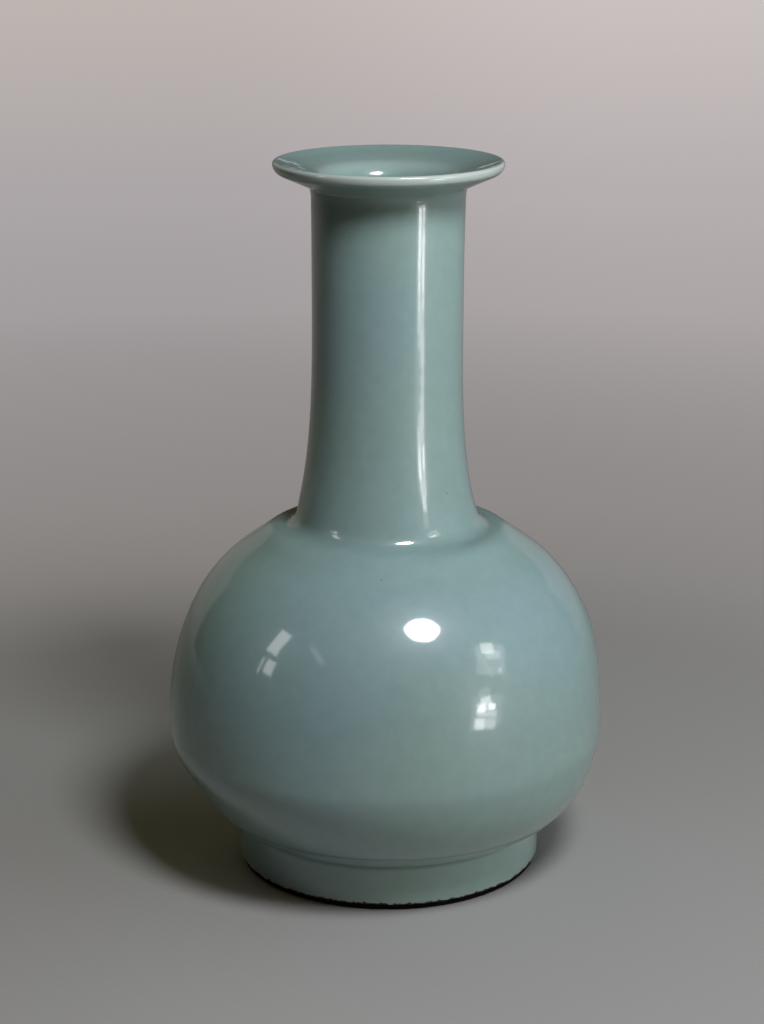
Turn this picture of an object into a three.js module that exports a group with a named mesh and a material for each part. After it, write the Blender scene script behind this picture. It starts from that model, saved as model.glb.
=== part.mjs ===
// A celadon bottle vase: a globe body on a turned foot ring, with a tall neck and a dished mouth.
// It is thrown on the wheel in sections, luted together with slip, and glazed inside and out.
// Lengths are in millimetres, +Z is up, and the origin is at the centre of the standing face.

import * as THREE from "three";

// Outside of the glazed vase
const height = 250;
const footDiameter = 108;
const footHeight = 16;
const bellyDiameter = 153.6;
const bellyHeight = 50;
const shoulderDiameter = 65.4;
const shoulderHeight = 123.5;
const neckDiameter = 52;
const neckWaistHeight = 203;
const neckTopDiameter = 52.6;
const mouthDiameter = 78.4;
const lipThickness = 4;
const mouthSlopeDegrees = 24;

// How full each curve is: 2 gives an ellipse, less a leaner curve and more a squarer one
const lowerFullness = 1.5;
const upperFullness = 2.58;
const neckSweep = 3.5;

// Rounded inner corners: the first two are lengths along each side, the last is a radius
const footCorner = 1.6;
const shoulderCorner = 7;
const mouthFillet = 3.6;

// Clay walls
const bodyWall = 5.4;
const neckWall = 4;
const baseThickness = 7;
const footRingWidth = 7.5;
const recessDepth = 11;
const standingChamfer = 1.2;
const slipThickness = 0.5;

// Glaze coats, which run thinner at the lip and stop short of the standing face
const outerGlaze = 1;
const innerGlaze = 0.9;
const lipGlaze = 0.6;
const baseGlaze = 0.8;
const bareFootOutside = 1.9;
const bareFootInside = 3;

// Facets round the vase, and steps along each stretch of its outline, which are fewer out of sight
const segments = 40;
const glazeSteps = { foot: 2, lower: 6, upper: 8, shoulder: 2, neck: 5, fillet: 3, lip: 2 };
const claySteps = { foot: 1, lower: 4, upper: 5, shoulder: 2, neck: 4, fillet: 2, lip: 1 };
const insideSteps = { foot: 1, lower: 3, upper: 4, shoulder: 2, neck: 3, fillet: 2 };
const neckSpacingPower = 1.6;

const footRadius = footDiameter / 2;
const bellyRadius = bellyDiameter / 2;
const shoulderRadius = shoulderDiameter / 2;
const neckRadius = neckDiameter / 2;
const neckTopRadius = neckTopDiameter / 2;
const clayFootRadius = footRadius - outerGlaze;
const recessRadius = clayFootRadius - footRingWidth;
const floorHeight = recessDepth + baseThickness;
const quarterTurn = Math.PI / 2;

// The lip is a half circle between the underside and the dish of the mouth, which slope alike
const lipRadius = lipThickness / 2;
const clayLipRadius = lipRadius - lipGlaze;
const lipCentre = new THREE.Vector2(mouthDiameter / 2 - lipRadius, height - lipRadius);
const mouthSlope = THREE.MathUtils.degToRad(mouthSlopeDegrees);
const undersideAngle = mouthSlope - quarterTurn;
const dishAngle = mouthSlope + quarterTurn;

// The mouth flares where a fillet leaves the upright neck and runs out into the sloping underside
const undersideEnd = circlePoint(lipCentre, lipRadius, undersideAngle);
const undersideReach = undersideEnd.x - neckTopRadius - mouthFillet;
const flareRise = (mouthFillet + undersideReach * Math.sin(mouthSlope)) / Math.cos(mouthSlope);
const flareHeight = undersideEnd.y - flareRise;

// Each joint is a thin layer of slip between two level faces
const footJoint = { low: recessDepth - slipThickness, high: recessDepth };
const bellyJoint = { low: bellyHeight, high: bellyHeight + slipThickness };
const shoulderJoint = { low: shoulderHeight, high: shoulderHeight + slipThickness };
const mouthJoint = { low: flareHeight - slipThickness, high: flareHeight };
const bodyJoints = [bellyJoint, shoulderJoint, mouthJoint];

// A point, and a line of points from the foot up, hold the distance from the axis and the height
function circlePoint(centre, radius, angle) {
  return new THREE.Vector2(Math.cos(angle), Math.sin(angle)).multiplyScalar(radius).add(centre);
}

function arc(centre, radius, startAngle, endAngle, steps) {
  const points = [];
  for (let step = 0; step <= steps; step += 1) {
    points.push(circlePoint(centre, radius, THREE.MathUtils.lerp(startAngle, endAngle, step / steps)));
  }
  return points;
}

// The underside of the body leaves the foot level and swells up to the belly
function lowerCurve(steps) {
  const points = [];
  for (let step = 0; step <= steps; step += 1) {
    const angle = quarterTurn * step / steps;
    const across = Math.sin(angle) ** (2 / lowerFullness);
    const down = Math.abs(Math.cos(angle)) ** (2 / lowerFullness);
    points.push(new THREE.Vector2(
      THREE.MathUtils.lerp(footRadius, bellyRadius, across),
      THREE.MathUtils.lerp(bellyHeight, footHeight, down),
    ));
  }
  return points;
}

// The upper body closes in from the belly and ends where the neck stands on the shoulder
function upperCurve(steps) {
  const lastAngle = Math.acos((shoulderRadius / bellyRadius) ** (upperFullness / 2));
  const fullRise = (shoulderHeight - bellyHeight) / Math.sin(lastAngle) ** (2 / upperFullness);
  const points = [];
  for (let step = 0; step <= steps; step += 1) {
    const angle = lastAngle * step / steps;
    points.push(new THREE.Vector2(
      bellyRadius * Math.cos(angle) ** (2 / upperFullness),
      bellyHeight + fullRise * Math.sin(angle) ** (2 / upperFullness),
    ));
  }
  return points;
}

// The neck sweeps in from the shoulder to its waist and opens slightly towards the mouth.
// Its points lie closer together near the shoulder, where it bends most.
function neckCurve(steps) {
  const points = [];
  for (let step = 0; step < steps; step += 1) {
    const level = THREE.MathUtils.lerp(shoulderHeight, flareHeight, (step / steps) ** neckSpacingPower);
    const sweep = Math.max(0, neckWaistHeight - level) / (neckWaistHeight - shoulderHeight);
    const opening = Math.max(0, level - neckWaistHeight) / (flareHeight - neckWaistHeight);
    const sweptRadius = THREE.MathUtils.lerp(neckRadius, shoulderRadius, sweep ** neckSweep);
    points.push(new THREE.Vector2(sweptRadius + (neckTopRadius - neckRadius) * opening ** 2, level));
  }
  return points;
}

function mouthUnderside(steps) {
  const centre = new THREE.Vector2(neckTopRadius + mouthFillet, flareHeight);
  return [...arc(centre, mouthFillet, Math.PI, dishAngle, steps), undersideEnd];
}

// The line without its last stretch of the given length
function shortened(line, length) {
  const kept = [...line];
  let remaining = length;
  while (kept.length > 1) {
    const end = kept.pop();
    const step = end.distanceTo(kept.at(-1));
    if (step > remaining) {
      kept.push(end.clone().lerp(kept.at(-1), remaining / step));
      return kept;
    }
    remaining -= step;
  }
  return kept;
}

// Two lines that meet at a corner, joined by a curve that leaves each of them at the given length
function joinedRound(first, second, length, steps) {
  const before = shortened(first, length);
  const after = shortened([...second].reverse(), length).reverse();
  const bend = new THREE.QuadraticBezierCurve(before.at(-1), first.at(-1), after[0]);
  return [...before.slice(0, -1), ...bend.getPoints(steps), ...after.slice(1)];
}

// The outside of the glaze from a level on the foot wall up to where the lip turns
function outline(steps, startLevel) {
  const footWall = [new THREE.Vector2(footRadius, startLevel), new THREE.Vector2(footRadius, footHeight)];
  const foot = joinedRound(footWall, lowerCurve(steps.lower), footCorner, steps.foot);
  const body = [...foot, ...upperCurve(steps.upper).slice(1)];
  const neck = [...neckCurve(steps.neck), ...mouthUnderside(steps.fillet)];
  return joinedRound(body, neck, shoulderCorner, steps.shoulder);
}

// The line moved into the wall, square to itself, by a depth that depends on the height
function movedInward(line, depthAt) {
  return line.map((point, index) => {
    const before = line[Math.max(index - 1, 0)];
    const after = line[Math.min(index + 1, line.length - 1)];
    const along = point.clone().sub(before).normalize().add(after.clone().sub(point).normalize());
    return new THREE.Vector2(-along.y, along.x).setLength(depthAt(point.y)).add(point);
  });
}

// The first value up to the low level, the second from the high level, and an even change between
function graded(level, lowLevel, highLevel, lowValue, highValue) {
  const share = THREE.MathUtils.clamp((level - lowLevel) / (highLevel - lowLevel), 0, 1);
  return THREE.MathUtils.lerp(lowValue, highValue, share);
}

function outerGlazeAt(level) {
  return graded(level, flareHeight, undersideEnd.y, outerGlaze, lipGlaze);
}

function outerGlazeAndClayAt(level) {
  const clay = graded(level, bellyHeight, shoulderHeight, bodyWall, neckWall);
  return graded(level, flareHeight, undersideEnd.y, outerGlaze + clay, lipThickness - lipGlaze);
}

function fullWallAt(level) {
  const glaze = graded(level, flareHeight, undersideEnd.y, innerGlaze, lipGlaze);
  return outerGlazeAndClayAt(level) + glaze;
}

function pointAt(line, level) {
  const next = line.findIndex((point) => point.y > level);
  const before = line[next - 1];
  return before.clone().lerp(line[next], (level - before.y) / (line[next].y - before.y));
}

// The line with both faces of every joint marked on it, in place of the points that crowd them
function withJoints(line, joints) {
  return joints.reduce((points, joint) => [
    ...points.filter((point) => point.y < joint.low - slipThickness),
    pointAt(points, joint.low),
    pointAt(points, joint.high),
    ...points.filter((point) => point.y > joint.high + slipThickness),
  ], line);
}

function between(line, joint, nextJoint) {
  return line.filter((point) => point.y >= joint.high && point.y <= nextJoint.low);
}

// The visible glaze, the clay under it, and the clay and the glaze inside, which start past the foot
const glazeOutside = outline(glazeSteps, bareFootOutside + outerGlaze);
const clayOutside = withJoints(
  movedInward(outline(claySteps, bareFootOutside), outerGlazeAt),
  [footJoint, ...bodyJoints],
);
const insideOutline = outline(insideSteps, bareFootOutside);
const wallStart = insideOutline.findIndex((point) => point.x > footRadius);
const clayInside = withJoints(movedInward(insideOutline, outerGlazeAndClayAt).slice(wallStart), bodyJoints);
const glazeInside = movedInward(insideOutline, fullWallAt).slice(wallStart);

const bareClay = { color: 0x4a3527, roughness: 0.85, metalness: 0 };
const paleClay = { color: 0xb9b2a4, roughness: 0.9, metalness: 0 };
const driedSlip = { color: 0xa8a295, roughness: 0.95, metalness: 0 };
const celadon = { color: 0x9db8b1, roughness: 0.12, metalness: 0 };

const vase = new THREE.Group();

// A solid of revolution, whose profile runs up its outer side and down its inner side
function addTurned(name, profile, finish) {
  const geometry = new THREE.LatheGeometry(profile, segments).rotateX(quarterTurn);
  const mesh = new THREE.Mesh(geometry, new THREE.MeshStandardMaterial(finish));
  mesh.name = name;
  vase.add(mesh);
}

function closed(profile) {
  return [...profile, profile[0]];
}

// The ring stands on a level face between two chamfers, and its rim is left bare of glaze
function addFootRing() {
  const wall = clayOutside.filter((point) => point.y <= footJoint.low);
  addTurned("foot_ring", closed([
    new THREE.Vector2(recessRadius + standingChamfer, 0),
    new THREE.Vector2(clayFootRadius - standingChamfer, 0),
    new THREE.Vector2(clayFootRadius, standingChamfer),
    ...wall,
    new THREE.Vector2(recessRadius, footJoint.low),
    new THREE.Vector2(recessRadius, bareFootInside),
    new THREE.Vector2(recessRadius, standingChamfer),
  ]), bareClay);
}

function addFootSlip() {
  addTurned("foot_seam_slip", closed([
    new THREE.Vector2(recessRadius, footJoint.low),
    pointAt(clayOutside, footJoint.low),
    pointAt(clayOutside, footJoint.high),
    new THREE.Vector2(recessRadius, footJoint.high),
  ]), driedSlip);
}

function addLowerBody() {
  addTurned("lower_body", [
    new THREE.Vector2(0, footJoint.high),
    new THREE.Vector2(recessRadius, footJoint.high),
    ...between(clayOutside, footJoint, bellyJoint),
    ...clayInside.filter((point) => point.y <= bellyJoint.low).reverse(),
    new THREE.Vector2(recessRadius, floorHeight),
    new THREE.Vector2(0, floorHeight),
  ], paleClay);
}

function addWallSection(name, joint, nextJoint) {
  const inside = between(clayInside, joint, nextJoint).reverse();
  addTurned(name, closed([...between(clayOutside, joint, nextJoint), ...inside]), paleClay);
}

function addWallSlip(name, joint) {
  addTurned(name, closed([
    pointAt(clayOutside, joint.low),
    pointAt(clayOutside, joint.high),
    pointAt(clayInside, joint.high),
    pointAt(clayInside, joint.low),
  ]), driedSlip);
}

// The upper half of the lip, from its widest line over the top and into the dish
function lipTop(radius, steps) {
  return [...arc(lipCentre, radius, 0, quarterTurn, steps.lip), circlePoint(lipCentre, radius, dishAngle)];
}

// The mouth turns out from the neck as a shallow dish and ends in a rounded lip
function addMouthRim() {
  const outside = clayOutside.filter((point) => point.y >= mouthJoint.high).slice(0, -1);
  const inside = clayInside.filter((point) => point.y >= mouthJoint.high).slice(0, -1).reverse();
  addTurned("mouth_rim", closed([
    ...outside,
    ...arc(lipCentre, clayLipRadius, undersideAngle, 0, claySteps.lip),
    ...lipTop(clayLipRadius, claySteps).slice(1),
    ...inside,
  ]), paleClay);
}

// The outer and the inner glaze meet along the widest line of the lip
function addOuterGlaze() {
  addTurned("outer_glaze", closed([
    ...glazeOutside.slice(0, -1),
    ...arc(lipCentre, lipRadius, undersideAngle, 0, glazeSteps.lip),
    ...arc(lipCentre, clayLipRadius, 0, undersideAngle, claySteps.lip),
    ...clayOutside.slice(0, -1).reverse(),
  ]), celadon);
}

function addInnerGlaze() {
  addTurned("inner_glaze", [
    new THREE.Vector2(0, floorHeight),
    new THREE.Vector2(recessRadius, floorHeight),
    ...clayInside.slice(0, -1),
    ...lipTop(clayLipRadius, claySteps).reverse(),
    ...lipTop(lipRadius, glazeSteps),
    ...glazeInside.slice(0, -1).reverse(),
    new THREE.Vector2(recessRadius, floorHeight + innerGlaze),
    new THREE.Vector2(0, floorHeight + innerGlaze),
  ], celadon);
}

// Under the base, glaze lines the recess down to a bare band above the standing face
function addBaseGlaze() {
  addTurned("base_glaze", [
    new THREE.Vector2(0, recessDepth - baseGlaze),
    new THREE.Vector2(recessRadius - baseGlaze, recessDepth - baseGlaze),
    new THREE.Vector2(recessRadius - baseGlaze, bareFootInside + baseGlaze),
    new THREE.Vector2(recessRadius, bareFootInside),
    new THREE.Vector2(recessRadius, footJoint.low),
    new THREE.Vector2(recessRadius, footJoint.high),
    new THREE.Vector2(0, footJoint.high),
  ], celadon);
}

addFootRing();
addFootSlip();
addLowerBody();
addWallSlip("belly_seam_slip", bellyJoint);
addWallSection("upper_body", bellyJoint, shoulderJoint);
addWallSlip("shoulder_seam_slip", shoulderJoint);
addWallSection("neck", shoulderJoint, mouthJoint);
addWallSlip("mouth_seam_slip", mouthJoint);
addMouthRim();
addOuterGlaze();
addInnerGlaze();
addBaseGlaze();

export default vase;
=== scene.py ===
# A celadon bottle vase, glazed and fired, standing on a sheet of pale paper in a dark studio.
# Lengths are in metres, +Z is up, and the vase stands on the origin.

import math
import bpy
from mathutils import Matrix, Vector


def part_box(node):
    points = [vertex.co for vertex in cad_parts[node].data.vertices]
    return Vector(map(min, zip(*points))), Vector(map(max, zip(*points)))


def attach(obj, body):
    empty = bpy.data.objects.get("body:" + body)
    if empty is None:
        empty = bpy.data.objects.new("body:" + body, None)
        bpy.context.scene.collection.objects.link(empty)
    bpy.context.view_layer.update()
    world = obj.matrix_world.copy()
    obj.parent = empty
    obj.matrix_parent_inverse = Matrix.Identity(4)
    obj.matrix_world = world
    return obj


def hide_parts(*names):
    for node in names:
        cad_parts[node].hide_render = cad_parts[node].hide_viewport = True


bl_info = {
    "name": "Celadon Bottle Vase",
    "version": (1, 0, 0),
    "blender": (4, 5, 0),
    "location": "View3D > Sidebar > Vase",
    "description": "Turns and glazes a celadon bottle vase and lights it on a sheet of pale paper",
    "category": "Add Mesh",
}

from collections import namedtuple
from functools import partial

import bmesh
import bpy
from bpy.props import FloatProperty, FloatVectorProperty, PointerProperty
from mathutils import Matrix, Vector, noise

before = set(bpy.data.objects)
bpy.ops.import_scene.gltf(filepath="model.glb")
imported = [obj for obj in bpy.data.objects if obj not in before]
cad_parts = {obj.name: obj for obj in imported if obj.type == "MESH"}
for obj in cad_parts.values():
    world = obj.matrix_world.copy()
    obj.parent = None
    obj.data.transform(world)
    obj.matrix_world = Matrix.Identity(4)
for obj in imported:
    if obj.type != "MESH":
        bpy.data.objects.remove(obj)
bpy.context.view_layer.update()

MM = 0.001
BODY = "root"

# Facets round the vase: many where they show, fewer on the clay that the glaze covers
SHOWN_SEGMENTS = 256
COVERED_SEGMENTS = 96
PAPER_SEGMENTS = 96
SHOWN_SPACING = 1.3 * MM
COVERED_SPACING = 4 * MM
RING_SPACING = 0.35 * MM
TRIM_SPACING = SHOWN_SPACING / 4
TRIM_REACH = 3
CURVE_STEPS = 240
LIP_STEPS = 24
BEAD_STEPS = 8
DOUBLINGS = 3
MERGE_DISTANCE = 0.001 * MM
SHARP_ANGLE = math.radians(40)
QUARTER_TURN = math.pi / 2

# Real sizes of the patterns in the glaze, the clay and the paper
TONE_DRIFT = 70 * MM
CLOUD = 5 * MM
SPECK_SPACING = 11 * MM
CRAWL_SIZE = 1.6 * MM
BLOTCH_SIZE = 6 * MM
ORANGE_PEEL = 3 * MM
WORN_PATCH = 9 * MM
BARE_GRAIN = 0.6 * MM
CLAY_GRAIN = 0.8 * MM
SLIP_GRAIN = 0.4 * MM
PAPER_FIBRE = 1.5 * MM

# Where the glaze lies thin: on the lip, down to this height below its edge and in to this width from
# its side. In the throat, this far above the flare, the glaze is painted paler, as painted light on the
# dish. It gathers in the corner of the recess.
THIN_LIP_HEIGHT = 2 * MM
THIN_LIP_EASE = 0.5 * MM
THIN_LIP_WIDTH = 1.6 * MM
THROAT_RISE, THROAT_WIDTH, THROAT_SHARE = 5 * MM, 2.2 * MM, 0.35
RECESS_CORNER, RECESS_POOL_WIDTH, RECESS_POOL = 2 * MM, 3 * MM, 0.6

# The edge of the glaze at the foot: what the dipping and the drift each do, the waves round the foot,
# and how far it is broken up and where it is out of reach, in millimetres
DIP_SHARE, DRIFT_SHARE = 0.4, 0.8
DRIFT_WAVES, RAGGED_WAVES, FINE_WAVES = 2.5, 14, 37
BREAKUP_REACH = 1.5
FAR_FROM_EDGE = 99.0

# The glaze mirrors this share of the pale ground. The paper fades into that outwards: each pair is a
# part of its radius and how far it has faded there.
MIRRORED_SHARE = 0.45
PAPER_FADE = (
    (0.06, 0.0), (0.16, 0.12), (0.22, 0.3), (0.29, 0.43), (0.44, 0.62), (0.62, 0.86), (0.94, 1.0))

# Attributes of the points of the glaze, and the sockets of a node that mixes two colours. The depth of
# the glaze also carries painted shade and painted light.
GLAZE_DEPTH, EDGE_DISTANCE = "glaze_depth", "edge_distance"
SHARE, FIRST, SECOND = 0, 6, 7


def linear(hex_colour):
    """An sRGB hex colour as the linear red, green, blue and alpha that the shaders take."""
    shares = [int(hex_colour[place:place + 2], 16) / 255 for place in (1, 3, 5)]
    return [c / 12.92 if c <= 0.04045 else ((c + 0.055) / 1.055) ** 2.4 for c in shares] + [1.0]


def number(name, description, default, **options):
    return FloatProperty(name=name, description=description, default=default, **options)


shift = partial(number, precision=5, unit="LENGTH", subtype="DISTANCE")
length = partial(shift, min=0.0)
factor = partial(number, min=0.0)
angle = partial(number, subtype="ANGLE")
power = partial(number, min=0.0, unit="POWER")


def colour(name, description, default):
    return FloatVectorProperty(name=name, description=description, default=linear(default),
                               size=4, min=0.0, max=1.0, subtype="COLOR")


def widest(node):
    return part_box(node)[1].x


def top(node):
    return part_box(node)[1].z


def bottom(node):
    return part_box(node)[0].z


class VaseForm(bpy.types.PropertyGroup):
    """Sizes of the finished vase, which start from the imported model."""

    height: length("Height", "From the standing face to the top of the lip", top("inner_glaze"))
    foot_height: length("Foot height", "Where the body leaves the foot", 16.8 * MM)
    belly_radius: length("Belly radius", "Outside of the glaze at its widest", widest("outer_glaze"))
    belly_height: length("Belly height", "Where the body is widest", top("lower_body"))
    shoulder_radius: length("Shoulder radius", "Where the neck stands on the body", 32.7 * MM)
    shoulder_height: length("Shoulder height", "Where the neck stands on the body", top("upper_body"))
    neck_radius: length("Neck radius", "Outside of the neck at its waist", 26 * MM)
    waist_height: length("Waist height", "Where the neck is narrowest", 203 * MM)
    neck_top_radius: length("Neck top radius", "Outside of the neck under the mouth", 26.3 * MM)
    flare_height: length("Flare height", "Where the neck turns out to the mouth",
                         bottom("mouth_rim") + 1.1 * MM)
    mouth_radius: length("Mouth radius", "Outside of the lip", widest("mouth_rim") + 0.6 * MM)
    mouth_slope: angle("Mouth slope", "Slope of the dish and of its underside", math.radians(22.1))
    mouth_fillet: length("Mouth fillet", "Radius between the neck and the mouth", 2 * MM)
    lip_edge: length("Lip edge", "Radius of the upper edge of the lip", 1.1 * MM)
    lip_round: length("Lip round", "Radius of the lip below its upper edge", 3.3 * MM)
    lower_fullness: factor("Lower fullness", "2 is an ellipse, and less is leaner", 1.53)
    upper_fullness: factor("Upper fullness", "2 is an ellipse, and more is squarer", 2.54)
    neck_sweep: factor("Neck sweep", "How late the neck sweeps out to the shoulder", 3.5)
    foot_corner: length("Foot corner", "Rounding between the foot and the body", 0.9 * MM)
    shoulder_corner: length("Shoulder corner", "Rounding between the body and the neck", 4.2 * MM)
    body_wall: length("Body wall", "Clay of the lower body", 5.4 * MM)
    neck_wall: length("Neck wall", "Clay of the neck", 4 * MM)
    recess_depth: length("Recess depth", "Hollow under the base", bottom("lower_body"))
    recess_radius: length("Recess radius", "Inside of the foot ring", widest("base_glaze"))
    floor_height: length("Floor height", "Clay floor of the vase", bottom("inner_glaze"))
    standing_chamfer: length("Standing chamfer", "Trimmed edges of the foot ring", 0.5 * MM)


class VaseGlaze(bpy.types.PropertyGroup):
    """How thick the glaze lies, and where it stops."""

    outer: length("Outer glaze", "Coat on the outside", 1 * MM)
    inner: length("Inner glaze", "Coat on the inside", 0.9 * MM)
    lip: length("Lip glaze", "Coat at the lip, where it runs thin", 0.6 * MM)
    base: length("Base glaze", "Coat under the base", 0.8 * MM)
    bare_outside: length("Bare foot outside", "Mean height of the bare clay outside", 2.1 * MM)
    bare_inside: length("Bare foot inside", "Mean height of the bare clay inside the ring", 3 * MM)
    edge_wander: length("Edge wander", "Slow rise and fall of the glaze edge round the foot", 0.25 * MM)
    edge_raggedness: length("Edge raggedness", "Short waves of the glaze edge", 0.3 * MM)
    crumble: length("Crumble", "How far the glaze crawled back from its edge at the foot", 0.8 * MM)


class VaseThrowing(bpy.types.PropertyGroup):
    """Where the thrown vase departs from a true round form. Shifts are sideways, to the right."""

    foot_shift: shift("Foot shift", "Of the foot ring", 1.1 * MM)
    flank_shift: shift("Flank shift", "Of the body just above the foot", 2.1 * MM)
    belly_shift: shift("Belly shift", "Of the widest part", 0.0)
    shoulder_shift: shift("Shoulder shift", "Of the upper body", 0.8 * MM)
    root_shift: shift("Neck root shift", "Of the lowest part of the neck", 0.35 * MM)
    neck_shift: shift("Neck shift", "Of the waist of the neck", 0.8 * MM)
    mouth_shift: shift("Mouth shift", "Of the mouth", 1.05 * MM)
    collar: length("Collar", "Rise of the body where the neck was luted on", 1.5 * MM)
    collar_radius: length("Collar radius", "Where that rise is highest", 41 * MM)
    collar_width: length("Collar width", "How far it spreads", 5 * MM)
    unevenness: length("Unevenness", "Broad dents left by the hands", 0.12 * MM)
    unevenness_size: length("Unevenness size", "Width of those dents", 45 * MM)
    ring_depth: length("Ring depth", "Fine throwing rings", 0.012 * MM)
    ring_spacing: length("Ring spacing", "From one ring to the next", 6.5 * MM)
    seam_height: length("Seam height", "Ridge over the joint under the mouth", 0.16 * MM)
    seam_width: length("Seam width", "Width of that ridge", 1.1 * MM)
    trim_line: length("Trim line", "Depth of the line cut round the body above the foot", 0.15 * MM)
    trim_height: length("Trim height", "Where that line runs", 23.3 * MM)
    trim_width: length("Trim width", "Half of its width, up the side", 0.5 * MM)


class VaseColours(bpy.types.PropertyGroup):
    """Colours of the fired surfaces and of the paper."""

    celadon: colour("Celadon", "Glaze at its usual depth", "#859FA0")
    celadon_green: colour("Celadon green", "Glaze where it fired greener", "#87A19A")
    # Also the painted light: the paler glaze in the throat
    celadon_thin: colour("Thin celadon", "Glaze on the lip, over pale clay", "#AFBBB4")
    # Also the painted shade in the creases at the foot and under the mouth
    celadon_pooled: colour("Pooled celadon", "Glaze that gathered in a corner", "#5F7672")
    glaze_edge: colour("Glaze edge", "Scorched edge of the glaze at the foot", "#A59C83")
    iron_speck: colour("Iron speck", "Specks of iron in the glaze", "#2E3330")
    bare_clay: colour("Bare clay", "Unglazed rim, fired dark", "#080605")
    bare_clay_pale: colour("Pale bare clay", "Worn patches of the rim", "#1C130D")
    stoneware: colour("Stoneware", "Clay under the glaze", "#B9B2A4")
    slip: colour("Slip", "Slip in the joints", "#A8A295")
    paper: colour("Paper", "Sheet that the vase stands on", "#A09E9A")
    surround: colour("Surround", "Pale ground far behind the vase", "#B6AFB0")
    # The pale ground is painted paler at the top and darker on the left: painted light and shade on the
    # backdrop
    surround_left: colour("Left of the surround", "The same ground on the left", "#ACA6A8")
    surround_top: colour("Top of the surround", "Pale ground at the level of the eye", "#C9C1BF")
    surround_top_left: colour("Top left of the surround", "The same on the left", "#BDB5B0")
    right_wall: colour("Right wall", "Grey wall on the right of the studio", "#4C4946")
    room: colour("Room", "Dark studio that the glaze reflects", "#352C20")


class VaseStage(bpy.types.PropertyGroup):
    """Camera and lamps."""

    camera_distance: length("Camera distance", "In front of the vase", 838.85 * MM)
    camera_height: length("Camera height", "Above the paper", 368.9 * MM)
    camera_side: shift("Camera side", "To the right of the vase's axis", -1.15 * MM)
    camera_tilt: angle("Camera tilt", "Down from level", math.radians(16.089))
    lens: number("Lens", "Focal length", 87.83, unit="CAMERA")
    paper_radius: length("Paper radius", "Size of the round sheet", 1.6)
    key_power: power("Key power", "Round softbox on the right", 3.15)
    side_power: power("Side power", "Broad pale board on the right", 5.2)
    low_power: power("Low power", "Broad pale board low on the right", 4.4)
    back_power: power("Back power", "Broad pale board behind on the left", 1.3)
    window_glow: factor("Window glow", "Brightness of all the panes, which only the gloss shows", 1.0)


SETTINGS = {"vase_form": VaseForm, "vase_glaze": VaseGlaze, "vase_throwing": VaseThrowing,
            "vase_colours": VaseColours, "vase_stage": VaseStage}


def mix(first, second, share):
    return first + (second - first) * share


def smooth_share(value, low, high):
    """0 below low, 1 above high, and an eased change between."""
    share = min(max((value - low) / (high - low), 0.0), 1.0)
    return share * share * (3 - 2 * share)


def graded(level, low, high, low_value, high_value):
    share = min(max((level - low) / (high - low), 0.0), 1.0)
    return mix(low_value, high_value, share)


def bell(value, middle, width):
    """1 in the middle, and falling away evenly to both sides."""
    return math.exp(-((value - middle) / width) ** 2)


def circle_point(centre, radius, turn):
    return centre + Vector((math.cos(turn), math.sin(turn))) * radius


def arc(centre, radius, start, end, steps):
    return [circle_point(centre, radius, mix(start, end, step / steps)) for step in range(steps + 1)]


# The profile of the vase. A point on it is a distance from the axis and a height.


def lip_centre(form, radius):
    """The centre of that rounding of the lip, level with where the lip is widest."""
    return Vector((form.mouth_radius - radius, form.height - form.lip_edge))


def lip_wall(form):
    """Glaze and clay between the dish and its underside, where the lip begins."""
    rounder = form.lip_round - form.lip_edge
    return form.lip_edge + form.lip_round - rounder * math.sin(form.mouth_slope)


def underside_end(form):
    centre = lip_centre(form, form.lip_round)
    return circle_point(centre, form.lip_round, form.mouth_slope - QUARTER_TURN)


def lower_curve(form, foot_radius):
    """The underside of the body leaves the foot level and swells up to the belly."""
    points = []
    for step in range(CURVE_STEPS + 1):
        turn = QUARTER_TURN * step / CURVE_STEPS
        across = math.sin(turn) ** (2 / form.lower_fullness)
        down = abs(math.cos(turn)) ** (2 / form.lower_fullness)
        points.append(Vector((mix(foot_radius, form.belly_radius, across),
                              mix(form.belly_height, form.foot_height, down))))
    return points


def upper_curve(form):
    """The upper body closes in from the belly to where the neck stands on it."""
    power_up = 2 / form.upper_fullness
    last_turn = math.acos((form.shoulder_radius / form.belly_radius) ** (1 / power_up))
    rise = (form.shoulder_height - form.belly_height) / math.sin(last_turn) ** power_up
    points = []
    for step in range(CURVE_STEPS + 1):
        turn = last_turn * step / CURVE_STEPS
        points.append(Vector((form.belly_radius * math.cos(turn) ** power_up,
                              form.belly_height + rise * math.sin(turn) ** power_up)))
    return points


def neck_curve(form):
    """The neck sweeps in to its waist and opens slightly towards the mouth."""
    points = []
    for step in range(CURVE_STEPS):
        level = mix(form.shoulder_height, form.flare_height, step / CURVE_STEPS)
        sweep = max(0.0, form.waist_height - level) / (form.waist_height - form.shoulder_height)
        opening = max(0.0, level - form.waist_height) / (form.flare_height - form.waist_height)
        swept = mix(form.neck_radius, form.shoulder_radius, sweep ** form.neck_sweep)
        points.append(Vector((swept + (form.neck_top_radius - form.neck_radius) * opening ** 2, level)))
    return points


def mouth_underside(form):
    """A fillet turns the neck out into the sloping underside of the mouth."""
    centre = Vector((form.neck_top_radius + form.mouth_fillet, form.flare_height))
    fillet = arc(centre, form.mouth_fillet, math.pi, form.mouth_slope + QUARTER_TURN, CURVE_STEPS)
    return [*fillet, underside_end(form)]


def run_of(line):
    """The distance along the line to each of its points."""
    run = [0.0]
    for before, after in zip(line, line[1:]):
        run.append(run[-1] + (after - before).length)
    return run


def points_along(line, distances):
    run = run_of(line)
    points = []
    place = 0
    for distance in distances:
        while place < len(line) - 2 and run[place + 1] < distance:
            place += 1
        share = (distance - run[place]) / (run[place + 1] - run[place])
        points.append(line[place].lerp(line[place + 1], share))
    return points


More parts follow.
